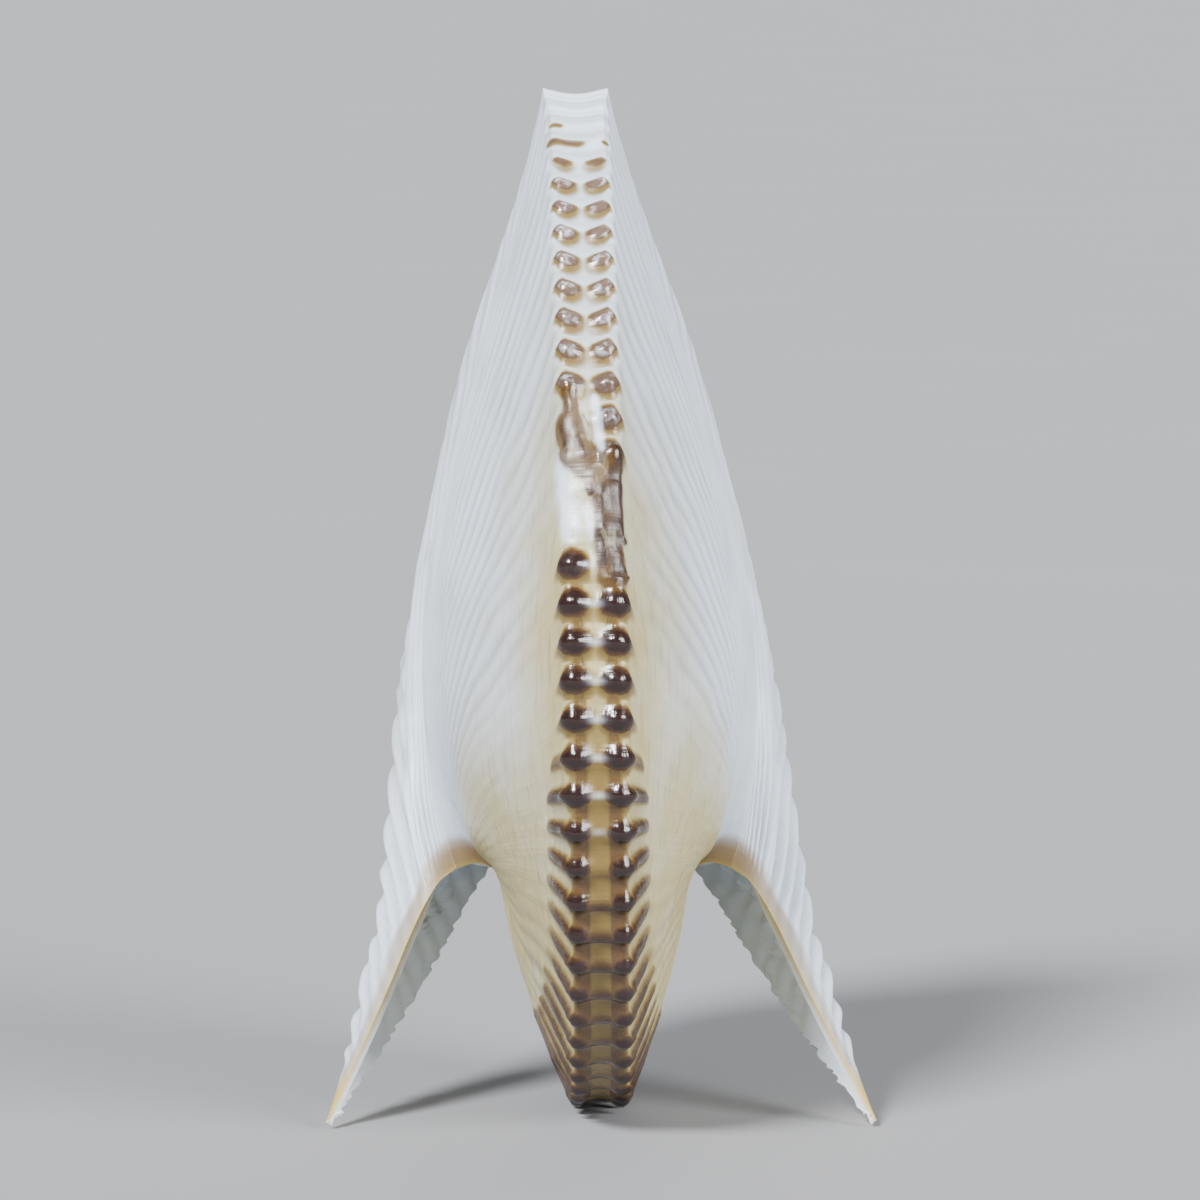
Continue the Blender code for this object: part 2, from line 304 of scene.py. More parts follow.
class ShellSizes(bpy.types.PropertyGroup):
    """Sizes of the shell that a user would change."""

    keel_radius_below: length_setting(
        "Keel Radius Below", "From the axis straight down to the keel", 27.5, 5)
    wall: length_setting("Wall", "Thickness of the sheet", 0.55, 0.2)
    ribbon: length_setting("Ribbon", "Thickness of the smooth margin over the arches", 1.6, 0.4)
    ribbon_tip: length_setting("Ribbon Tip", "Thickness of the margin at the tip of the ear", 0.8, 0.4)
    ribbon_width: length_setting(
        "Ribbon Width", "Width of the smooth margin at the top of the arch", 3.1, 0.5)
    rib_height: length_setting("Rib Height", "Height of a flank rib above the sheet", 0.16)
    ear_rib_height: length_setting("Ear Rib Height", "Height of a rib on the ears", 0.5)
    knob_height: length_setting("Knob Height", "Height of a keel knob", 0.95)
    knob_fall: FloatProperty(
        name="Knob Fall", description="How fast a knob falls off from its top, below zero",
        default=-1.1, max=-0.1)
    lobe_height: length_setting("Lobe Height", "Height of the lobes beside the lower keel", 0.4)
    scar_height: length_setting("Scar Height", "Height of the lumps of the healed scar", 1.1)
    ridge_height: length_setting("Ridge Height", "Height of the ridge that joins a pair of knobs", 0.22)
    scallop: length_setting("Scallop", "How far each ear rib carries the free margin out", 0.36)
    unevenness: length_setting("Unevenness", "Slow waves of the sheet between the ribs", 0.14)
    rib_wander: FloatProperty(
        name="Rib Wander", description="How far ribs stray from even spacing, as a share of it",
        default=0.55, min=0.0, max=1.0, subtype="FACTOR")
    seed: IntProperty(name="Seed", description="Picks the pattern of the uneven places", default=4)


class ShellColours(bpy.types.PropertyGroup):
    """Colours of the shell that a user would change."""

    white: colour_setting("White", "Upper flanks and ears", "#E3F0FF")
    # The flanks' own cream, made darker than their tone to paint the shade on the lower flanks and coil.
    cream_and_shade: colour_setting("Cream", "Flanks beside the lower keel", "#C4B885")
    ochre: colour_setting("Ochre", "Keel band and around the knobs", "#7E6A33")
    knob_rim: colour_setting("Knob Rims", "Brown edge of the knobs", "#4A321A")
    knob_late: colour_setting("Late Knobs", "Knobs near the end of the keel", "#6C584C")
    knob_early: colour_setting("Early Knobs", "Knobs on the lower keel", "#24120F")
    ribbon: colour_setting("Ribbon", "Smooth margin over the arches", "#97805F")
    tip: colour_setting("Tip", "Tips of the ears", "#CDB45E")
    scar: colour_setting("Scar", "Healed scar on the keel", "#533A10")


class StageSettings(bpy.types.PropertyGroup):
    """The floor, the light and the camera."""

    floor_colour: colour_setting("Floor Colour", "Plain floor and background", "#8D8E91")
    key_power: strength_setting("Key Light", "Strength of the large left light", 7.6)
    fill_power: strength_setting("Fill Light", "Strength of the right light", 5.0)
    back_power: strength_setting("Back Light", "Strength of the light behind", 0.5)
    sky: strength_setting("Sky", "Strength of the even light", 1.0)
    camera_distance: length_setting(
        "Camera Distance", "From the camera to the middle of the view", 800, 100)
    camera_elevation: FloatProperty(
        name="Camera Elevation", description="Angle above the horizon", default=math.radians(6),
        unit="ROTATION")
    camera_yaw: FloatProperty(
        name="Camera Yaw", description="How far the camera stands to the left", default=math.radians(1.2),
        unit="ROTATION")
    view_height: length_setting("View Height", "Height on the shell that the camera points at", 60.5)
    view_width: length_setting("View Width", "Width of the view at the shell", 139.0, 1)


def add(tree, *inputs, kind, out=0, **settings):
    """Adds a node of a kind with its settings, fills its inputs and gives back one of its outputs.

    The inputs come in their order, or in one dict by name or number. Each is a value or a node's output.
    """
    node = tree.nodes.new(kind)
    for name, value in settings.items():
        setattr(node, name, value)
    named = inputs[0] if inputs and isinstance(inputs[0], dict) else dict(enumerate(inputs))
    for key, value in named.items():
        socket = node.inputs[key]
        if isinstance(value, bpy.types.NodeSocket):
            tree.links.new(value, socket)
        else:
            socket.default_value = (*value, 1) if socket.type == "RGBA" else value
    return node.outputs[out] if node.outputs else None


def smooth(value, low, high):
    """0 below low, 1 above high and an even curve between them."""
    share = np.clip((value - low) / (high - low), 0, 1)
    return share * share * (3 - 2 * share)


def spoke(angle, out, distance):
    """A point at a distance from the axis, in the direction of an angle."""
    return np.array([out, -distance * math.sin(angle), -distance * math.cos(angle)])


def blend(knots, values, at):
    """Smooth curve through values at their knots (Catmull-Rom)."""
    values = np.asarray(values, dtype=float)
    at = min(max(at, knots[0]), knots[-1])
    i = min(int(np.searchsorted(knots, at, side="right")) - 1, len(knots) - 2)
    step = knots[i + 1] - knots[i]
    slopes = []
    for k in (i, i + 1):
        low = max(k - 1, 0)
        high = min(k + 1, len(knots) - 1)
        slopes.append((values[high] - values[low]) / (knots[high] - knots[low]))
    f = (at - knots[i]) / step
    return ((2 * f**3 - 3 * f**2 + 1) * values[i] + (f**3 - 2 * f**2 + f) * step * slopes[0]
            + (3 * f**2 - 2 * f**3) * values[i + 1] + (f**3 - f**2) * step * slopes[1])


def lengths_along(points):
    """How long a path is up to each of its points."""
    return np.concatenate([[0.0], np.cumsum(np.linalg.norm(np.diff(points, axis=0), axis=1))])


def along(points, share):
    """The point at a share of the length of a smooth path given in millimetres."""
    points = np.array(points) * MM
    lengths = lengths_along(points)
    return blend(lengths / lengths[-1], points, share)


def swollen(start, end, stage):
    """Guide points of a rib between two margins, swelling outwards by the stage's amounts."""
    third = start + (end - start) / 3
    two_thirds = start + (end - start) * 2 / 3
    knots, values = zip(*SWELL_FRONT)
    third[0] = start[0] + blend(knots, values, stage) * MM
    knots, values = zip(*SWELL_BACK)
    two_thirds[0] = end[0] + blend(knots, values, stage) * MM
    return [start, third, two_thirds, end]


class Sheet:
    """The smooth sheet as rows of points, with what each point needs for its relief and colour.

    Every row runs from the ribbon or the coil's seam to the keel or the free margin.
    """

    def __init__(self, sizes):
        self.radius_below = sizes.keel_radius_below
        self.angles = []
        self.ribs = []
        self.lay_out_keel_rows()
        self.keel_rows = len(self.angles)
        self.end_radius = self.keel_radius(KEEL_END)

    def keel_radius(self, angle):
        return self.radius_below * math.exp(KEEL_GROWTH * angle)

    def half_width(self, angle):
        return KEEL_HALF_WIDTH_END * math.exp(KEEL_GROWTH * (angle - KEEL_END) * KEEL_WIDTH_POWER)

    def early_share(self, angle):
        """Knobs and walls are smaller on the early coil."""
        return min(1.0, self.keel_radius(angle) / KNOB_FULL_RADIUS)

    def lay_out_keel_rows(self):
        """Angles and rib numbers of the rows, counted back from the end of the keel."""
        angle, rib = KEEL_END, END_PHASE
        while True:
            self.angles.insert(0, angle)
            self.ribs.insert(0, rib)
            if angle <= KEEL_START:
                return
            rows = ROWS_PER_RIB if angle > EARLY_COIL else ROWS_PER_EARLY_RIB
            radius = self.keel_radius(angle)
            spacing = KNOB_SPACING * min(1.0, (radius / KNOB_FULL_RADIUS) ** EARLY_SPACING_POWER)
            angle -= spacing / rows / (radius * math.hypot(1.0, KEEL_GROWTH))
            rib += 1 / rows

    def coil_guides(self, angle):
        """Four guide points of a rib on the coil: seam, shoulder, flank, keel edge."""
        radius = self.keel_radius(angle)
        knots, values = zip(*BREADTH)
        half = radius * float(blend(knots, values, math.degrees(angle)))
        edge = self.half_width(angle)
        return [
            spoke(angle, SEAM_OUT * radius, SEAM_REACH * radius),
            spoke(angle, SHOULDER_OUT * half, SHOULDER_REACH * radius),
            spoke(angle, edge + FLANK_OUT * (half - edge), FLANK_REACH * radius),
            spoke(angle, edge, radius),
        ]

    def fan_guides(self, angle):
        """A rib from the arch to the keel. At the split it is the coil's own rib."""
        stage = (angle - KEEL_SPLIT) / (KEEL_END - KEEL_SPLIT)
        seam = self.coil_guides(KEEL_SPLIT)[0] / MM
        start = along([tuple(seam)] + ARCH, stage)
        end = spoke(angle, self.half_width(angle), self.keel_radius(angle))
        plain = swollen(start, end, stage)
        coil = self.coil_guides(angle)
        share = float(smooth(stage, 0.0, 0.5))
        shoulder, flank = (coil[i] * (1 - share) + plain[i] * share for i in (1, 2))
        return [start, shoulder, flank, end]

    def ear_guides(self, share):
        """A rib from the ribbon to the free margin of the aperture."""
        return swollen(along(EAR_FRONT, share**FAN_POWER), along(EAR_BACK, share), 1.0 + share)

    def rib_row(self, guides):
        """Points of one rib with their distances from its two ends."""
        f = np.linspace(0, 1, RIB_SAMPLES)[:, None]
        a, b, c, d = guides
        curve = (1 - f)**3 * a + 3 * (1 - f)**2 * f * b + 3 * (1 - f) * f**2 * c + f**3 * d
        lengths = lengths_along(curve)
        total = lengths[-1]
        fit = min(1.0, total / SHORT_RIB)
        first = RIBBON_STEPS * fit
        last = total - EDGE_STEPS[::-1] * fit
        middle = np.linspace(first[-1], last[0], MIDDLE_COLUMNS + 1)[1:-1]
        at = np.concatenate([first, middle, last])
        points = np.column_stack([np.interp(at, lengths, curve[:, axis]) for axis in range(3)])
        return points, at, total - at

    def band_row(self, angle):
        """Points across the keel from its right edge to its left one, without the edges."""
        radius = self.keel_radius(angle)
        half = self.half_width(angle)
        across = 1 - 2 * np.arange(1, BAND_COLUMNS) / BAND_COLUMNS
        depth = HOLLOW + END_HOLLOW * smooth(angle, KEEL_END - END_STRETCH, KEEL_END)
        hollow = self.early_share(angle) * depth * (1 - across**2)
        return np.array([spoke(angle, half * a, radius - h) for a, h in zip(across, hollow)]), half * across

    def half(self):
        """The right half: points and their fields, each as rows by columns."""
        rows = []
        for angle, rib in zip(self.angles, self.ribs):
            guides = self.coil_guides(angle) if angle < KEEL_SPLIT else self.fan_guides(angle)
            points, ribbon, edge = self.rib_row(guides)
            arch = max(0.0, (angle - KEEL_SPLIT) / (KEEL_END - KEEL_SPLIT))
            half = self.half_width(angle)
            size = self.early_share(angle)
            rows.append((points, ribbon, edge + half, rib, 0.0, arch, half, size, FAR_AWAY))
        margin_length = lengths_along(np.array(EAR_BACK) * MM)[-1]
        half = self.half_width(KEEL_END)
        for step in range(1, EAR_ROWS + 1):
            share = (step / EAR_ROWS) ** EAR_ROW_POWER
            points, ribbon, edge = self.rib_row(self.ear_guides(share))
            rib = END_PHASE - EAR_RIBS * share**EAR_RIB_POWER
            across = edge + half + margin_length * share
            rows.append((points, ribbon, across, rib, share, 1.0, half, 1.0, edge))
        points = np.array([row[0] for row in rows])
        names = ("ribbon", "across", "rib", "ear", "arch", "half", "size", "free")
        columns = points.shape[1]
        fields = {name: np.array([np.broadcast_to(row[i], columns) for row in rows])
                  for i, name in enumerate(names, 1)}
        spacing = np.linalg.norm(np.gradient(points, axis=0), axis=2)
        per_rib = 1 / np.maximum(np.abs(np.gradient(fields["rib"], axis=0)), 1e-6)
        fields["room"] = np.clip(spacing * per_rib / RIB_FULL_SPACING, 0, 1)
        fields["oblique"] = points @ OBLIQUE / OBLIQUE_SPACING
        return points, fields


def round_edges(rows, edge_columns, ribs):
    """Rounds the two corners of the keel in every row, except at its end, where they flare out as horns."""
    plain = rows.copy()
    for _ in range(ROUNDING_PASSES):
        for column in edge_columns:
            for j in (column - 1, column, column + 1):
                rows[:, j] = 0.25 * rows[:, j - 1] + 0.5 * rows[:, j] + 0.25 * rows[:, j + 1]
    sharp = 1 - smooth(np.array(ribs), END_PHASE, END_PHASE + HORN_RIBS)
    rows += (plain - rows) * sharp[:, None, None]
    for column in edge_columns:
        gap = np.linalg.norm(rows - rows[:, column:column + 1], axis=2)
        near = np.exp(-(gap / MM) ** 2) * sharp[:, None] ** 2
        rows[:, :, 0] += np.sign(rows[:, column:column + 1, 0]) * HORN * near


def close_apex(line, angle, first_angle, sheet):
    """Rounds the first rows of the coil down to a small end."""
    turn = (angle - first_angle) / APEX_CAP
    if turn >= 1:
        return line
    scale = APEX_SIZE + (1 - APEX_SIZE) * math.sqrt(max(0.0, 1 - (1 - turn) ** 2))
    middle = spoke(angle, 0.0, WHORL_MIDDLE * sheet.keel_radius(angle))
    return middle + (line - middle) * scale


def stroke(rib, across, strokes):
    """How much each point lies under the strokes, 1 on their middle line and 0 past their radius."""
    most = np.zeros(len(rib))
    point = np.column_stack([rib * KNOB_SPACING / MM, across / MM])
    for start, end, radius in strokes:
        a = np.array([start[0] * KNOB_SPACING / MM, start[1]])
        b = np.array([end[0] * KNOB_SPACING / MM, end[1]])
        run = b - a
        share = np.clip(((point - a) @ run) / max(run @ run, 1e-9), 0, 1)
        gap = np.linalg.norm(point - a - share[:, None] * run, axis=1)
        most = np.maximum(most, np.exp(-(gap / radius) ** 2))
    return most


def keel_rows(sheet, right, fields):
    """Rows across the whole shell where the two sides meet at the keel, with their fields."""
    columns = right.shape[1]
    rows, values = [], {name: [] for name in (*fields, "side")}
    for row in range(sheet.keel_rows):
        band, across = sheet.band_row(sheet.angles[row])
        left = right[row][::-1] * MIRROR
        line = np.concatenate([right[row], band, left])
        rows.append(close_apex(line, sheet.angles[row], sheet.angles[0], sheet))
        for name in fields:
            own = fields[name][row]
            middle = np.abs(across) if name == "across" else np.full(len(band), own[-1])
            values[name].append(np.concatenate([own, middle, own[::-1]]))
        values["side"].append(np.concatenate([np.ones(columns), np.sign(across), -np.ones(columns)]))
    rows = np.array(rows)
    round_edges(rows, (columns - 1, columns - 1 + BAND_COLUMNS), sheet.ribs)
    return rows, values


def sheet_mesh(sizes):
    """The whole sheet as one mesh, with its fields at every point."""
    sheet = Sheet(sizes)
    right, fields = sheet.half()
    columns = right.shape[1]
    rows, values = keel_rows(sheet, right, fields)
    width = rows.shape[1]
    vertices = [rows.reshape(-1, 3)]
    lines = [(list(range(row * width, (row + 1) * width)),) for row in range(len(rows))]
    count = len(rows) * width
    for row in range(sheet.keel_rows, len(right)):
        vertices += [right[row], right[row][::-1] * MIRROR]
        for name in fields:
            values[name] += [fields[name][row], fields[name][row][::-1]]
        values["side"] += [np.ones(columns), -np.ones(columns)]
        lines.append((list(range(count, count + columns)), list(range(count + columns, count + 2 * columns))))
        count += 2 * columns
    faces = []
    for low, high in zip(lines[:-1], lines[1:]):
        if len(high) == 1:
            faces += strip(low[0], high[0])
        else:
            starts = low if len(low) == 2 else (low[0][:columns], low[0][-columns:])
            faces += strip(starts[0], high[0]) + strip(starts[1], high[1])
    points = np.concatenate(vertices)
    first = lines[0][0]
    points = np.vstack([points, points[first].mean(axis=0)])
    for i in range(len(first)):
        faces.append((first[i], first[(i + 1) % len(first)], len(points) - 1))
    fields = {name: np.append(np.concatenate(parts), parts[0][0]) for name, parts in values.items()}
    points[:, 0] -= KEEL_LEAN * points[:, 2] / sheet.end_radius
    points += np.array(CAD_LOW + AXIS_FROM_LOW_CORNER)
    middle = np.array(CAD_LOW + CAD_HIGH) / 2
    return middle + (points - middle) * FIT, faces, fields


def strip(low_line, high_line):
    """Four-cornered faces between two rows of points."""
    return [(low_line[i + 1], low_line[i], high_line[i], high_line[i + 1]) for i in range(len(low_line) - 1)]


def wall_thickness(fields, sizes):
    """The wall, thicker at the ribbon and thinner on the early coil."""
    wall = sizes.wall * (EARLY_WALL_SHARE + (1 - EARLY_WALL_SHARE) * fields["size"])
    lip = sizes.ribbon + (sizes.ribbon_tip - sizes.ribbon) * fields["ear"]
    near = 1 - smooth(fields["ribbon"], 0.3 * sizes.ribbon_width, 1.2 * sizes.ribbon_width)
    return wall + (lip - wall) * near * smooth(fields["arch"], 0.0, 0.6)


def knob_fields(fields):
    """Where each point lies on its knob and lobe, and how strongly they show there.

    The limits of rib are rib numbers, and those of gap, the distance beyond the keel's edge, are millimetres.
    """
    rib = fields["rib"]
    on_keel = fields["ear"] <= 0
    gap = (fields["across"] - fields["half"]) / MM
    stage = np.array(KNOB_STAGES)
    centre, inwards, outwards, length, lobe, lobe_half = (np.interp(rib, stage[:, 0], row)
                                                          for row in stage[:, 1:].T)
    knots, slopes = np.array(SWEEP).T
    found = {"gap": gap}
    sweep = np.interp(rib, knots, slopes) * np.clip(gap, 0, SWEEP_WIDTH) * MM / KNOB_SPACING
    lift = KNOB_LIFT * smooth(gap, -2.4, 0.0) * smooth(rib, 2, 4) * (1 - smooth(rib, 10, 15))
    found["swept"] = rib + (sweep + lift) * on_keel
    found["aside"] = (gap - centre) / np.where(gap < centre, inwards, outwards)
    pointed = 1 - 0.6 * smooth(found["aside"], 0.3, 1.2)
    found["long"] = length * pointed * MM / KNOB_SPACING
    found["lobe_along"] = np.clip(np.abs(gap - LOBE_START - lobe / 2) - lobe / 2 + 0.4, 0, None) / 0.6
    found["lobe_half"] = lobe_half * MM / KNOB_SPACING
    fading = (0.75 - 0.5 * smooth(rib, 29, 32)) * smooth(gap, 4.0, 8.0)
    found["lobe_level"] = smooth(rib, 21.5, 24) * (1 - fading) * on_keel
    kept = (1 - fields["lost"]) * on_keel
    found["knob_level"] = kept * smooth(rib, 4.3, 5.6)
    found["knob_rise"] = kept * (0.1 + 0.45 * smooth(rib, 3, 6) + 0.45 * smooth(rib, 6, 16)) * fields["size"]
    beside = np.exp(-(np.clip(gap, 0, None) / 15) ** 2) * smooth(rib, 11, 17) * (1 - smooth(rib, 23, 25))
    beyond = smooth(gap, 3.5, 6.5) * smooth(rib, 17, 21) * (1 - smooth(rib, 27, 32))
    found["bold"] = smooth(fields["ear"], 0.34, 0.46) * (1 - smooth(fields["ear"], 0.86, 0.96))
    found["calm"] = 1 - 0.85 * np.maximum(beside, beyond) * on_keel
    found["healed"] = fields["lost"] * on_keel * (0.25 * (1 - smooth(gap, -2.0, -0.4))
                                                  - 0.35 * np.exp(-(gap / 1.7) ** 2)) * MM
    return found


def marks(fields):
    """Where the other colours lie, from 0 to 1 at every point.

    The limits of rib are rib numbers, those of ear are shares and all others are millimetres.
    """
    rib, gap = fields["rib"], fields["gap"]
    signed = fields["across"] * fields["side"]
    across = fields["across"] / MM
    on_keel = fields["ear"] <= 0
    inner = 1 - smooth(gap, -0.2, 0.5)
    found = {}
    sides = smooth(across, 0.7, 1.3) * (1 - smooth(across, 2.4, 3.4) * (1 - smooth(rib, 23, 26)))
    sides *= (0.5 + 0.1 * smooth(rib, 21, 26)) * smooth(rib, 17, 19)
    found["band"] = inner * np.maximum(0.4 * smooth(rib, 19, 24), sides) * on_keel
    edge_line = np.exp(-(gap / 0.35) ** 2) * smooth(rib, 1.5, 2.5) * (1 - smooth(rib, 4.5, 6))
    found["band"] = np.maximum(found["band"], 0.2 * edge_line * on_keel)
    found["bridge"] = np.exp(-(across / 0.8) ** 2) * smooth(rib, 12, 15) * (1 - smooth(rib, 24, 26)) * on_keel
    found["groove"] = inner * smooth(rib, 24, 28) * on_keel
    found["late"] = inner * (1 - smooth(rib, 2.6, 3.8)) * on_keel
    found["stain"] = stroke(rib, signed, END_STAIN) * on_keel
    found["tan"] = stroke(rib, signed, SCAR_TAN) * on_keel
    found["bruise"] = stroke(rib, signed, SCAR_DARK) * on_keel
    found["clean"] = stroke(rib, signed, SCAR_WHITE) * on_keel
    width = 1 - 0.5 * smooth(fields["ear"], 0.3, 0.9)
    near = 1 - smooth(fields["ribbon"] / MM / width, 2.6, 3.8)
    found["blush"] = near * smooth(fields["arch"], 0.05, 0.45) * (1 - 0.45 * smooth(fields["ear"], 0.1, 0.9))
    found["rim"] = (1 - smooth(fields["ribbon"] / MM, 0.1, 0.8)) * smooth(fields["arch"], 0.1, 0.6)
    found["tipped"] = smooth(fields["ear"], 0.88, 0.98)
    # Cream, partly the shell's own tone and partly painted shade, lies beside the lower keel and over the
    # lower coil.
    beside = np.exp(-(np.clip(gap, 0, None) / 20) ** 2) * smooth(rib, 8, 19) * on_keel
    found["creamy_and_shaded"] = np.maximum(beside, smooth(rib, 15, 25) * on_keel)
    return found


def lost_knobs(fields):
    """1 where the scar has taken the knobs of the keel."""
    rib, left = fields["rib"], fields["side"] < 0
    gone = []
    for first, last in (LOST_LEFT, LOST_RIGHT):
        gone.append(smooth(rib, first - 0.1, first + 0.1) * (1 - smooth(rib, last - 0.1, last + 0.1)))
    return np.where(left, gone[0], gone[1])


def crests(tree, turns):
    """A wave from 0 to 1, with a crest at every full turn of an angle."""
    swing = add(tree, turns, **COSINE)
    return add(tree, swing, 0.5, 0.5, **TIMES_PLUS)


def beside_knob(tree, swept):
    """How far each point lies from the nearest row of knobs, in rib spacings."""
    nearest = add(tree, swept, **ROUNDED)
    return add(tree, swept, nearest, **MINUS)


def up_the_row(tree, swept):
    """How far up its row of the lower keel each point lies, from 0 to 1."""
    raised = add(tree, swept, ROW_PHASE, **PLUS)
    return add(tree, raised, **FRACTION)


def rib_relief(tree, read, given):
    """The ribs: their rise, their crests from 0 to 1, the angle of their wave and where the ears are."""
    slow = add(tree, {"W": given["Seed"], "Scale": 1 / WANDER_SIZE, "Detail": 1.0}, **NOISE_4D)
    centred = add(tree, slow, 0.5, **MINUS)
    # Ribs stray from even spacing, and more so away from the keel.
    away = add(tree, read["gap"], 2.0, 11.0, 0.0, 4.0, **CURVE)
    stray = centred
    for factor in (given["Rib Wander"], away):
        stray = add(tree, stray, factor, **TIMES)
    wandering = add(tree, read["swept"], stray, **PLUS)
    turns = add(tree, wandering, math.tau, **TIMES)
    # The bold ribs take their place on the outer face of the ears.
    bold = add(tree, centred, BOLD_WANDER, read["oblique"], **TIMES_PLUS)
    bold = add(tree, bold, math.tau, **TIMES)
    crest = add(tree, {0: read["bold"], 2: crests(tree, turns), 3: crests(tree, bold)}, **MIX)
    room = add(tree, {0: read["bold"], 2: read["room"], 3: 1.0}, **MIX)

    on_ear = add(tree, read["ear"], 0.18, 0.42, **CURVE)
    height = add(tree, on_ear, 0.0, 1.0, given["Rib Height"], given["Ear Rib Height"], **RAMP)
    # Ribs are low at the free margin and fade out towards the ribbon and the keel.
    inside = add(tree, read["free"], 1.5 * MM, 9 * MM, 0.25, 1.0, **CURVE)
    past_ribbon = add(tree, read["ribbon"], 1.8 * MM, 5.5 * MM, **CURVE)
    past_keel = add(tree, read["gap"], 0.0, 2.0, **CURVE)
    for factor in (room, read["calm"], inside, past_ribbon, past_keel):
        height = add(tree, height, factor, **TIMES)
    # Broad round ribs with narrow valleys.
    rounded = add(tree, crest, 0.6, **POWER)
    rounded = add(tree, rounded, 2.0, -1.0, **TIMES_PLUS)
    rise = add(tree, height, rounded, **TIMES)
    return rise, crest, turns, on_ear


def knob_relief(tree, read, given):
    """Knobs on the keel's edges, and the lobes that run from them along the ribs."""
    step = beside_knob(tree, read["swept"])
    rise = 0.0
    for across, half, level, height in (("aside", "long", "knob_rise", "Knob Height"),
                                        ("lobe_along", "lobe_half", "lobe_level", "Lobe Height")):
        upward = add(tree, step, read[half], **OVER)
        upward = add(tree, upward, 2.0, **POWER)
        aside = add(tree, read[across], 2.0, **POWER)
        far = add(tree, upward, aside, **PLUS)
        fall = add(tree, far, given["Knob Fall"], **TIMES)
        shape = add(tree, fall, **EXPONENT)
        shape = add(tree, shape, read[level], **TIMES)
        rise = add(tree, shape, given[height], rise, **TIMES_PLUS)
    return rise


def keel_relief(tree, read, given, crest):
    """Ridges across the keel, and the steps between the rows of its lower part."""
    on_band = add(tree, read["gap"], -1.0, 1.0, 1.0, 0.0, **CURVE)
    ridge = add(tree, crest, 2.0, **POWER)
    for factor in (on_band, given["Ridge Height"], read["size"]):
        ridge = add(tree, ridge, factor, **TIMES)
    row = add(tree, up_the_row(tree, read["swept"]), read["groove"], **TIMES)
    return add(tree, row, given["Ridge Height"], ridge, **TIMES_PLUS)


def uneven_relief(tree, read, given):
    """Slow waves of the sheet, and the lumps of the scar."""
    waves, lumps = (add(tree, {"W": given["Seed"], "Scale": 1 / size, "Detail": detail}, **NOISE_4D)
                    for size, detail in ((UNEVEN_SIZE, 2.0), (LUMP_SIZE, 1.0)))
    centred = add(tree, waves, 0.5, **MINUS)
    uneven = add(tree, centred, given["Unevenness"], **TIMES)
    healed = add(tree, read["tan"], read["bruise"], **LARGER)
    lumps = add(tree, lumps, healed, **TIMES)
    return add(tree, lumps, given["Scar Height"], uneven, **TIMES_PLUS)


def scalloping(tree, read, given, turns, on_ear):
    """How far the free margin of the ears moves out along the ribs."""
    outward = add(tree, {"Name": "outward"}, data_type="FLOAT_VECTOR", **STORED)
    reach = add(tree, read["free"], 0.0, 3 * MM, 1.0, 0.0, **CURVE)
    often = add(tree, turns, SCALLOPS_PER_RIB, **TIMES)
    scallops = add(tree, often, **COSINE)
    for factor in (scallops, on_ear, given["Scallop"]):
        reach = add(tree, reach, factor, **TIMES)
    return add(tree, {0: outward, "Scale": reach}, **SCALED)


def relief_tree():
    """Geometry Nodes that raise ribs, knobs and ridges on the sheet and scallop its free margin."""
    tree = bpy.data.node_groups.new("ribs and knobs", "GeometryNodeTree")
    face = tree.interface
    face.new_socket("Geometry", in_out="INPUT", socket_type="NodeSocketGeometry")
    for name in ("Rib Height", "Ear Rib Height", "Knob Height", "Knob Fall", "Lobe Height", "Ridge Height",
                 "Scar Height", "Scallop", "Unevenness", "Rib Wander"):
        face.new_socket(name, in_out="INPUT", socket_type="NodeSocketFloat")
    face.new_socket("Seed", in_out="INPUT", socket_type="NodeSocketInt")
    face.new_socket("Material", in_out="INPUT", socket_type="NodeSocketMaterial")
    face.new_socket("Geometry", in_out="OUTPUT", socket_type="NodeSocketGeometry")
    given = tree.nodes.new("NodeGroupInput").outputs
    read = {}
    for name in ("swept", "gap", "aside", "long", "lobe_along", "lobe_half", "lobe_level", "knob_rise",
                 "calm", "healed", "ribbon", "room", "size", "ear", "free", "tan", "bruise", "groove",
                 "oblique", "bold"):
        read[name] = add(tree, {"Name": name}, data_type="FLOAT", **STORED)
    total, crest, turns, on_ear = rib_relief(tree, read, given)
    for rise in (knob_relief(tree, read, given), read["healed"], keel_relief(tree, read, given, crest),
                 uneven_relief(tree, read, given)):
        total = add(tree, total, rise, **PLUS)
    normal = add(tree, kind="GeometryNodeInputNormal")
    push = add(tree, {0: normal, "Scale": total}, **SCALED)
    pull = scalloping(tree, read, given, turns, on_ear)
    offset = add(tree, push, pull, **VECTOR_PLUS)
    marked = add(tree, {"Geometry": given["Geometry"], "Name": "crest", "Value": crest},
                 kind="GeometryNodeStoreNamedAttribute", data_type="FLOAT", domain="POINT")
    moved = add(tree, {"Geometry": marked, "Offset": offset}, kind="GeometryNodeSetPosition")
    whole = add(tree, {"Geometry": moved}, kind="GeometryNodeRealizeInstances")
    dressed = add(tree, {"Geometry": whole, "Material": given["Material"]}, kind="GeometryNodeSetMaterial")
    add(tree, {"Geometry": dressed}, kind="NodeGroupOutput")
    return tree


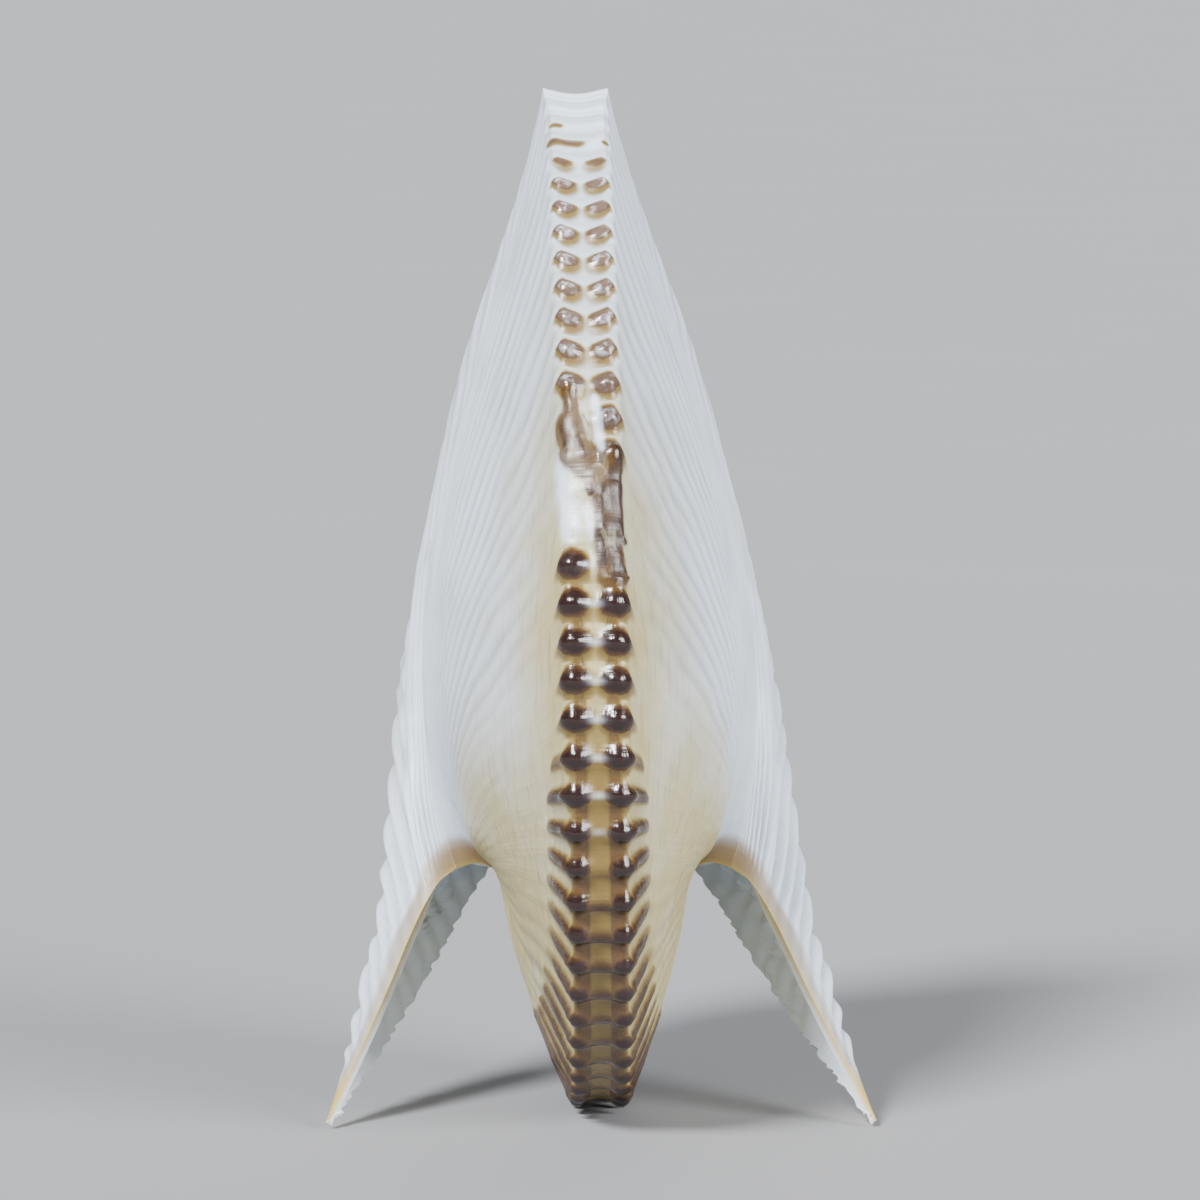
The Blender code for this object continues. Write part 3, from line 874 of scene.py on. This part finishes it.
def sheet_colour(tree, read, colours, place, lines):
    """White to cream with growth lines and painted shade in the rib valleys, and how strong the long streaks
    are.
    """
    cloud = add(tree, {"Vector": place, "Scale": 1 / CLOUD_SIZE, "Detail": 2.0}, **NOISE)
    cloud = add(tree, cloud, *MOST_NOISE, -0.2, 0.2, **RAMP)
    # The cream of the lower flanks and coil is partly their own tone and partly painted shade.
    creamy_and_shaded = add(tree, read["creamy_and_shaded"], cloud, use_clamp=True, **PLUS)
    body = add(tree, {0: creamy_and_shaded, 6: colours.white, 7: colours.cream_and_shade}, **COLOUR_MIX)
    shade = add(tree, lines, *MOST_NOISE, 0.93, 1.03, **RAMP)
    # Painted shade darkens the valleys between the ribs, less where the sheet is calm.
    depth = add(tree, read["calm"], -PAINTED_VALLEY_SHADE, 1.0, **TIMES_PLUS)
    broad = add(tree, read["crest"], 0.5, **POWER)
    painted_valley_shade = add(tree, broad, 0.0, 1.0, depth, 1.0, **RAMP)
    shade = add(tree, shade, painted_valley_shade, **TIMES)
    body = add(tree, {0: body, "Scale": shade}, **SCALED)
    upright = add(tree, place, [1 / size for size in STREAK_SIZE], **VECTOR_TIMES)
    streak = add(tree, {"Vector": upright, "Scale": 1.0, "Detail": 2.0}, **NOISE)
    streak = add(tree, streak, 0.5, 0.75, 0.0, 0.42, **RAMP)
    streak = add(tree, streak, read["creamy_and_shaded"], **TIMES)
    return add(tree, {0: streak, 6: body, 7: colours.ochre}, **COLOUR_MIX), streak


def from_middle(tree, read, step, across, half, ragged):
    """Distance from the middle of a knob or lobe, as a share of its half size and with an uneven edge."""
    upward = add(tree, step, read[half], **OVER)
    upward = add(tree, upward, upward, ragged, **TIMES_PLUS)
    far = add(tree, read[across], read[across], upward, **TIMES_PLUS)
    return add(tree, far, 0.5, **POWER)


def keel_stain(tree, read, step, ragged):
    """The stain of the keel. It grows from 0 to 1 towards the middle of each knob and lobe."""
    on_knob = from_middle(tree, read, step, "aside", "long", ragged)
    on_lobe = from_middle(tree, read, step, "lobe_along", "lobe_half", ragged)
    # The ochre rim lies mostly on each knob's lower side.
    lower = add(tree, step, RIM_DROP, **MINUS)
    under_knob = from_middle(tree, read, lower, "aside", "long", ragged)
    stain = read["band"]
    for far, full, none, most, level in ((on_knob, 0.3, 1.65, 1.1, "knob_level"),
                                         (on_lobe, 0.25, 1.8, 0.8, "lobe_level"),
                                         (under_knob, 0.7, 2.2, 0.42, "knob_level"),
                                         (on_lobe, 0.5, 2.3, 0.34, "lobe_level")):
        amount = add(tree, far, full, none, most, 0.0, **CURVE)
        amount = add(tree, amount, read[level], **TIMES)
        stain = add(tree, stain, amount, **LARGER)
    # Dark grooves across the lower keel, and the thin stain near its end.
    row = add(tree, ragged, 0.12, up_the_row(tree, read["swept"]), **TIMES_PLUS)
    groove = add(tree, row, 0.2, 1.0, 0.3, 0.78, **CURVE)
    mark = add(tree, add(tree, step, **ABSOLUTE), 0.08, 0.42, 0.66, 0.0, **RAMP)
    for amount, name in ((groove, "groove"), (mark, "stain")):
        amount = add(tree, amount, read[name], **TIMES)
        stain = add(tree, stain, amount, **LARGER)
    return stain


def keel_layers(tree, read, colours, stain, step, speck):
    """Amounts and colours of the stain's layers, from its ochre edge to its core, and of the bridges."""
    age = add(tree, read["rib"], 9.0, 19.0, **CURVE)
    core = add(tree, {0: age, 6: colours.knob_late, 7: colours.knob_early}, **COLOUR_MIX)
    # The latest knobs are paler, and white specks in them are painted glints of light on their gloss.
    young = add(tree, 1.0, age, **MINUS)
    painted_glints = add(tree, speck, 0.48, 0.66, 0.0, 0.55, **RAMP)
    painted_glints = add(tree, painted_glints, young, **TIMES)
    core = add(tree, {0: painted_glints, 6: core, 7: colours.white}, **COLOUR_MIX)
    softer = add(tree, young, 0.5, **TIMES)
    brown = add(tree, {0: softer, 6: colours.knob_rim, 7: colours.knob_late}, **COLOUR_MIX)
    layers = [(add(tree, stain, low, high, **CURVE), colour)
              for low, high, colour in ((0.02, 0.4, colours.ochre), (0.28, 0.68, brown), (0.58, 1.0, core))]
    # A thin white bridge joins the two knobs of a row.
    bridge = add(tree, add(tree, step, **ABSOLUTE), 0.02, 0.15, 1.0, 0.0, **RAMP)
    for factor in (read["bridge"], 0.45):
        bridge = add(tree, bridge, factor, **TIMES)
    return layers + [(bridge, colours.white)]


def scar_layers(tree, read, colours, place, ragged):
    """Amounts and colours of the healed scar: tan, mottled along the keel, darker along its right edge."""
    flow = add(tree, place, [1 / size for size in MOTTLE_SIZE], **VECTOR_TIMES)
    mottle = add(tree, {"Vector": flow, "Scale": 1.0, "Detail": 3.0, "Distortion": 0.8}, **NOISE)
    mottle = add(tree, mottle, *MOST_NOISE, -0.5, 0.5, **RAMP)
    layers = []
    for name, low, high, colour in (("clean", 0.3, 1.1, colours.white), ("tan", 0.12, 0.45, colours.scar),
                                    ("bruise", 0.15, 0.65, colours.knob_rim),
                                    ("bruise", 0.35, 1.0, colours.knob_early)):
        edge = add(tree, mottle, 0.22, read[name], **TIMES_PLUS)
        edge = add(tree, ragged, 0.25, edge, **TIMES_PLUS)
        layers.append((add(tree, edge, low, high, 0.0, 0.9, **CURVE), colour))
    spots = add(tree, mottle, read["tan"], **TIMES)
    for first, full, most, colour in ((0.2, 0.5, 0.3, colours.cream_and_shade), (-0.04, -0.34, 0.85, colours.knob_rim)):
        layers.append((add(tree, spots, first, full, 0.0, most, **RAMP), colour))
    return layers


def calcite_material(colours):
    """Argonaut calcite, grown in thin layers. It reads as unglazed porcelain with a soft gloss.

    The knobs are stained dark and are glossier than the sheet. Light passes a little way into it.
    """
    material = bpy.data.materials.new("argonaut_calcite")
    material.use_nodes = True
    tree = material.node_tree
    tree.nodes.clear()
    read = {}
    for name in ("rib", "across", "swept", "crest", "aside", "long", "lobe_along", "lobe_half", "lobe_level",
                 "knob_level", "band", "bridge", "groove", "late", "calm", "stain", "tan", "bruise", "clean",
                 "blush", "rim", "tipped", "creamy_and_shaded", "outer"):
        read[name] = add(tree, kind="ShaderNodeAttribute", attribute_name=name, out="Fac")
    place = add(tree, kind="ShaderNodeTexCoord", out="Object")
    speck = add(tree, {"Vector": place, "Scale": 1 / SPECK_SIZE, "Detail": 3.0}, **NOISE)
    ragged = add(tree, speck, *MOST_NOISE, -0.16, 0.16, **RAMP)
    # Fine growth lines that run along the ribs. They are drawn coarser than the real ones.
    count = add(tree, read["rib"], LINES_PER_RIB, **TIMES)
    run = add(tree, read["across"], 1 / LINE_LENGTH, **TIMES)
    line_place = add(tree, count, run, 0.0, kind="ShaderNodeCombineXYZ")
    lines = add(tree, {"Vector": line_place, "Scale": 1.0, "Detail": 3.0}, **NOISE)
    body, streak = sheet_colour(tree, read, colours, place, lines)
    # Growth lines across the last stretch of the keel.
    turns = add(tree, read["rib"], END_LINES_PER_RIB * math.tau, **TIMES)
    end_lines = add(tree, turns, **COSINE)
    end_lines = add(tree, end_lines, read["late"], **TIMES)
    darker = add(tree, end_lines, 0.06, 0.96, **TIMES_PLUS)
    body = add(tree, {0: body, "Scale": darker}, **SCALED)

    step = beside_knob(tree, read["swept"])
    stain = keel_stain(tree, read, step, ragged)
    layers = keel_layers(tree, read, colours, stain, step, speck)
    layers += scar_layers(tree, read, colours, place, ragged)
    # The smooth ribbon, the yellow tips and the thin yellow rim.
    rim = add(tree, read["rim"], 0.6, **TIMES)
    layers += [(read["blush"], colours.ribbon), (read["tipped"], colours.tip), (rim, colours.tip)]
    for amount, colour in layers:
        body = add(tree, {0: amount, 6: body, 7: colour}, **COLOUR_MIX)
    # The inner face is almost white, with a trace of the stains.
    inner = add(tree, {0: 0.15, 6: colours.white, 7: body}, **COLOUR_MIX)
    body = add(tree, {0: read["outer"], 6: inner, 7: body}, **COLOUR_MIX)

    rough = add(tree, stain, 0.2, 0.7, 0.36, 0.13, **RAMP)
    rough = add(tree, speck, 0.12, rough, **TIMES_PLUS)
    fine = lines
    for height, share in ((speck, 0.35), (end_lines, 0.5), (streak, -1.2)):
        fine = add(tree, height, share, fine, **TIMES_PLUS)
    normal = add(tree, {"Height": fine, "Strength": 0.5, "Distance": 0.12 * MM}, kind="ShaderNodeBump")
    shader = add(tree, {
        "Base Color": body, "Roughness": rough, "Normal": normal, "Metallic": 0.0, "IOR": 1.58,
        "Subsurface Weight": 0.3, "Subsurface Radius": (1.0, 0.85, 0.65), "Subsurface Scale": 1.2 * MM,
        "Coat Weight": 0.1, "Coat Roughness": 0.2}, kind="ShaderNodeBsdfPrincipled")
    add(tree, {"Surface": shader}, kind="ShaderNodeOutputMaterial")
    return material


def floor_material(colour):
    """Matt painted board, sprayed. Only a very faint cloud shows in it."""
    material = bpy.data.materials.new("matt_painted_board")
    material.use_nodes = True
    tree = material.node_tree
    tree.nodes.clear()
    place = add(tree, kind="ShaderNodeTexCoord", out="Object")
    cloud = add(tree, {"Vector": place, "Scale": 1 / FLOOR_CLOUD_SIZE, "Detail": 2.0}, **NOISE)
    shade = add(tree, cloud, 0.0, 1.0, 0.97, 1.03, **RAMP)
    paint = add(tree, {0: colour, "Scale": shade}, **SCALED)
    shader = add(tree, {"Base Color": paint, "Roughness": 0.75}, kind="ShaderNodeBsdfPrincipled")
    add(tree, {"Surface": shader}, kind="ShaderNodeOutputMaterial")
    return material


def outward_directions(points, fields):
    """Unit direction from each ear point towards the free margin, along its rib."""
    direction = np.zeros_like(points)
    on_ear = fields["ear"] > 0
    index = np.flatnonzero(on_ear)
    toward = np.where(fields["side"][index] > 0, 1, -1)
    ahead = np.clip(index + toward, 0, len(points) - 1)
    same = np.abs(fields["rib"][ahead] - fields["rib"][index]) < 1e-6
    same &= fields["side"][ahead] == fields["side"][index]
    ahead = np.where(same, ahead, index)
    back = np.where(same, index, index - toward)
    step = points[ahead] - points[back]
    direction[index] = step / np.maximum(np.linalg.norm(step, axis=1, keepdims=True), 1e-9)
    return direction


def smooth_shell(context, sizes, material):
    """The sheet without relief or wall, with its fields, its wall weights and its material."""
    points, faces, fields = sheet_mesh(sizes)
    fields["lost"] = lost_knobs(fields)
    fields.update(knob_fields(fields))
    mesh = bpy.data.meshes.new("nautilus_shell")
    mesh.from_pydata(points.tolist(), [], faces)
    mesh.materials.append(material)
    shell = bpy.data.objects.new("nautilus_shell", mesh)
    context.scene.collection.objects.link(shell)
    for name, values in {**fields, **marks(fields)}.items():
        layer = mesh.attributes.new(name, "FLOAT", "POINT")
        layer.data.foreach_set("value", values.astype(np.float32))
    layer = mesh.attributes.new("outward", "FLOAT_VECTOR", "POINT")
    layer.data.foreach_set("vector", outward_directions(points, fields).astype(np.float32).ravel())
    group = shell.vertex_groups.new(name="wall")
    for index, weight in enumerate(wall_thickness(fields, sizes) / sizes.ribbon):
        group.add([index], float(weight), "REPLACE")
    return shell


def add_relief_and_wall(shell, sizes, material):
    """The modifiers that raise the relief and then give the sheet its wall."""
    relief = shell.modifiers.new("relief", "NODES")
    relief.node_group = relief_tree()
    given = {"Material": material}
    for name in ("rib_height", "ear_rib_height", "knob_height", "knob_fall", "lobe_height", "ridge_height",
                 "scar_height", "scallop", "unevenness", "rib_wander", "seed"):
        given[name.replace("_", " ").title()] = getattr(sizes, name)
    for item in relief.node_group.interface.items_tree:
        if item.in_out == "INPUT" and item.name in given:
            relief[item.identifier] = given[item.name]
    wall = shell.modifiers.new("wall", "SOLIDIFY")
    wall.thickness = sizes.ribbon
    wall.offset = -1.0
    wall.vertex_group = "wall"
    wall.use_even_offset = False


class SHELL_OT_grow(bpy.types.Operator):
    """Builds the ribbed shell with its knobs, wall and finish"""

    bl_idname = "shell.grow"
    bl_label = "Grow Shell"

    def execute(self, context):
        sizes = context.scene.shell_sizes
        material = calcite_material(context.scene.shell_colours)
        shell = smooth_shell(context, sizes, material)
        count = len(shell.data.vertices)
        add_relief_and_wall(shell, sizes, material)
        context.view_layer.update()
        evaluated = shell.evaluated_get(context.evaluated_depsgraph_get())
        solid = bpy.data.meshes.new_from_object(evaluated)
        if len(solid.vertices) != 2 * count:
            raise RuntimeError("the wall doesn't have one inner point for each outer point")
        shell.modifiers.clear()
        shell.vertex_groups.clear()
        shell.data = solid
        solid.name = "nautilus_shell"
        layer = solid.attributes.new("outer", "FLOAT", "POINT")
        layer.data.foreach_set("value", np.repeat([1.0, 0.0], count).astype(np.float32))
        solid.shade_smooth()
        solid.set_sharp_from_angle(angle=SHARP_ANGLE)
        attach(shell, "root")
        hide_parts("shell")
        return {"FINISHED"}


class SHELL_OT_stage(bpy.types.Operator):
    """Sets up the plain floor, the soft light and the camera"""

    bl_idname = "shell.stage"
    bl_label = "Set Stage"

    def execute(self, context):
        stage = context.scene.shell_stage
        floor = bpy.data.meshes.new("floor")
        half = FLOOR_HALF_WIDTH
        floor.from_pydata([(-half, -half, 0), (half, -half, 0), (half, half, 0), (-half, half, 0)], [],
                          [(0, 1, 2, 3)])
        floor.materials.append(floor_material(stage.floor_colour))
        piece = bpy.data.objects.new("floor", floor)
        context.scene.collection.objects.link(piece)
        lights = (
            ("key", (-0.6, -0.8, 0.95), 14, stage.key_power),
            ("fill", (0.9, -0.7, 0.5), 30, stage.fill_power),
            ("back", (0.2, 0.8, 0.7), 40, stage.back_power),
        )
        for name, source, spread, power in lights:
            light = bpy.data.lights.new(name, "SUN")
            light.angle = math.radians(spread)
            light.energy = power
            lamp = bpy.data.objects.new(name, light)
            lamp.location = source
            lamp.rotation_euler = (-Vector(source)).to_track_quat("-Z", "Y").to_euler()
            context.scene.collection.objects.link(lamp)
        world = bpy.data.worlds.new("even sky")
        world.use_nodes = True
        background = world.node_tree.nodes["Background"]
        background.inputs["Color"].default_value = (*stage.floor_colour, 1)
        background.inputs["Strength"].default_value = stage.sky
        context.scene.world = world
        camera = bpy.data.cameras.new("camera")
        eye = bpy.data.objects.new("camera", camera)
        context.scene.collection.objects.link(eye)
        elevation, yaw = stage.camera_elevation, stage.camera_yaw
        forward = Vector((math.sin(yaw) * math.cos(elevation), math.cos(yaw) * math.cos(elevation),
                          -math.sin(elevation)))
        eye.location = Vector((0, 0, stage.view_height)) - forward * stage.camera_distance
        eye.rotation_euler = forward.to_track_quat("-Z", "Y").to_euler()
        camera.lens = camera.sensor_width * stage.camera_distance / stage.view_width
        camera.clip_start = 0.01
        context.scene.camera = eye
        return {"FINISHED"}


class SHELL_PT_panel(bpy.types.Panel):
    """Lists the shell's sizes, colours and steps"""

    bl_idname = "SHELL_PT_panel"
    bl_label = "Paper Nautilus Shell"
    bl_space_type = "VIEW_3D"
    bl_region_type = "UI"
    bl_category = "Shell"

    def draw(self, context):
        for settings in (context.scene.shell_sizes, context.scene.shell_colours, context.scene.shell_stage):
            column = self.layout.column()
            for name in settings.__annotations__:
                column.prop(settings, name)
        self.layout.operator(SHELL_OT_grow.bl_idname)
        self.layout.operator(SHELL_OT_stage.bl_idname)


CLASSES = (ShellSizes, ShellColours, StageSettings, SHELL_OT_grow, SHELL_OT_stage, SHELL_PT_panel)


def register():
    for cls in CLASSES:
        bpy.utils.register_class(cls)
    bpy.types.Scene.shell_sizes = PointerProperty(type=ShellSizes)
    bpy.types.Scene.shell_colours = PointerProperty(type=ShellColours)
    bpy.types.Scene.shell_stage = PointerProperty(type=StageSettings)


def unregister():
    del bpy.types.Scene.shell_stage
    del bpy.types.Scene.shell_colours
    del bpy.types.Scene.shell_sizes
    for cls in reversed(CLASSES):
        bpy.utils.unregister_class(cls)


def main():
    register()
    bpy.ops.shell.grow()
    bpy.ops.shell.stage()


if __name__ == "__main__":
    main()
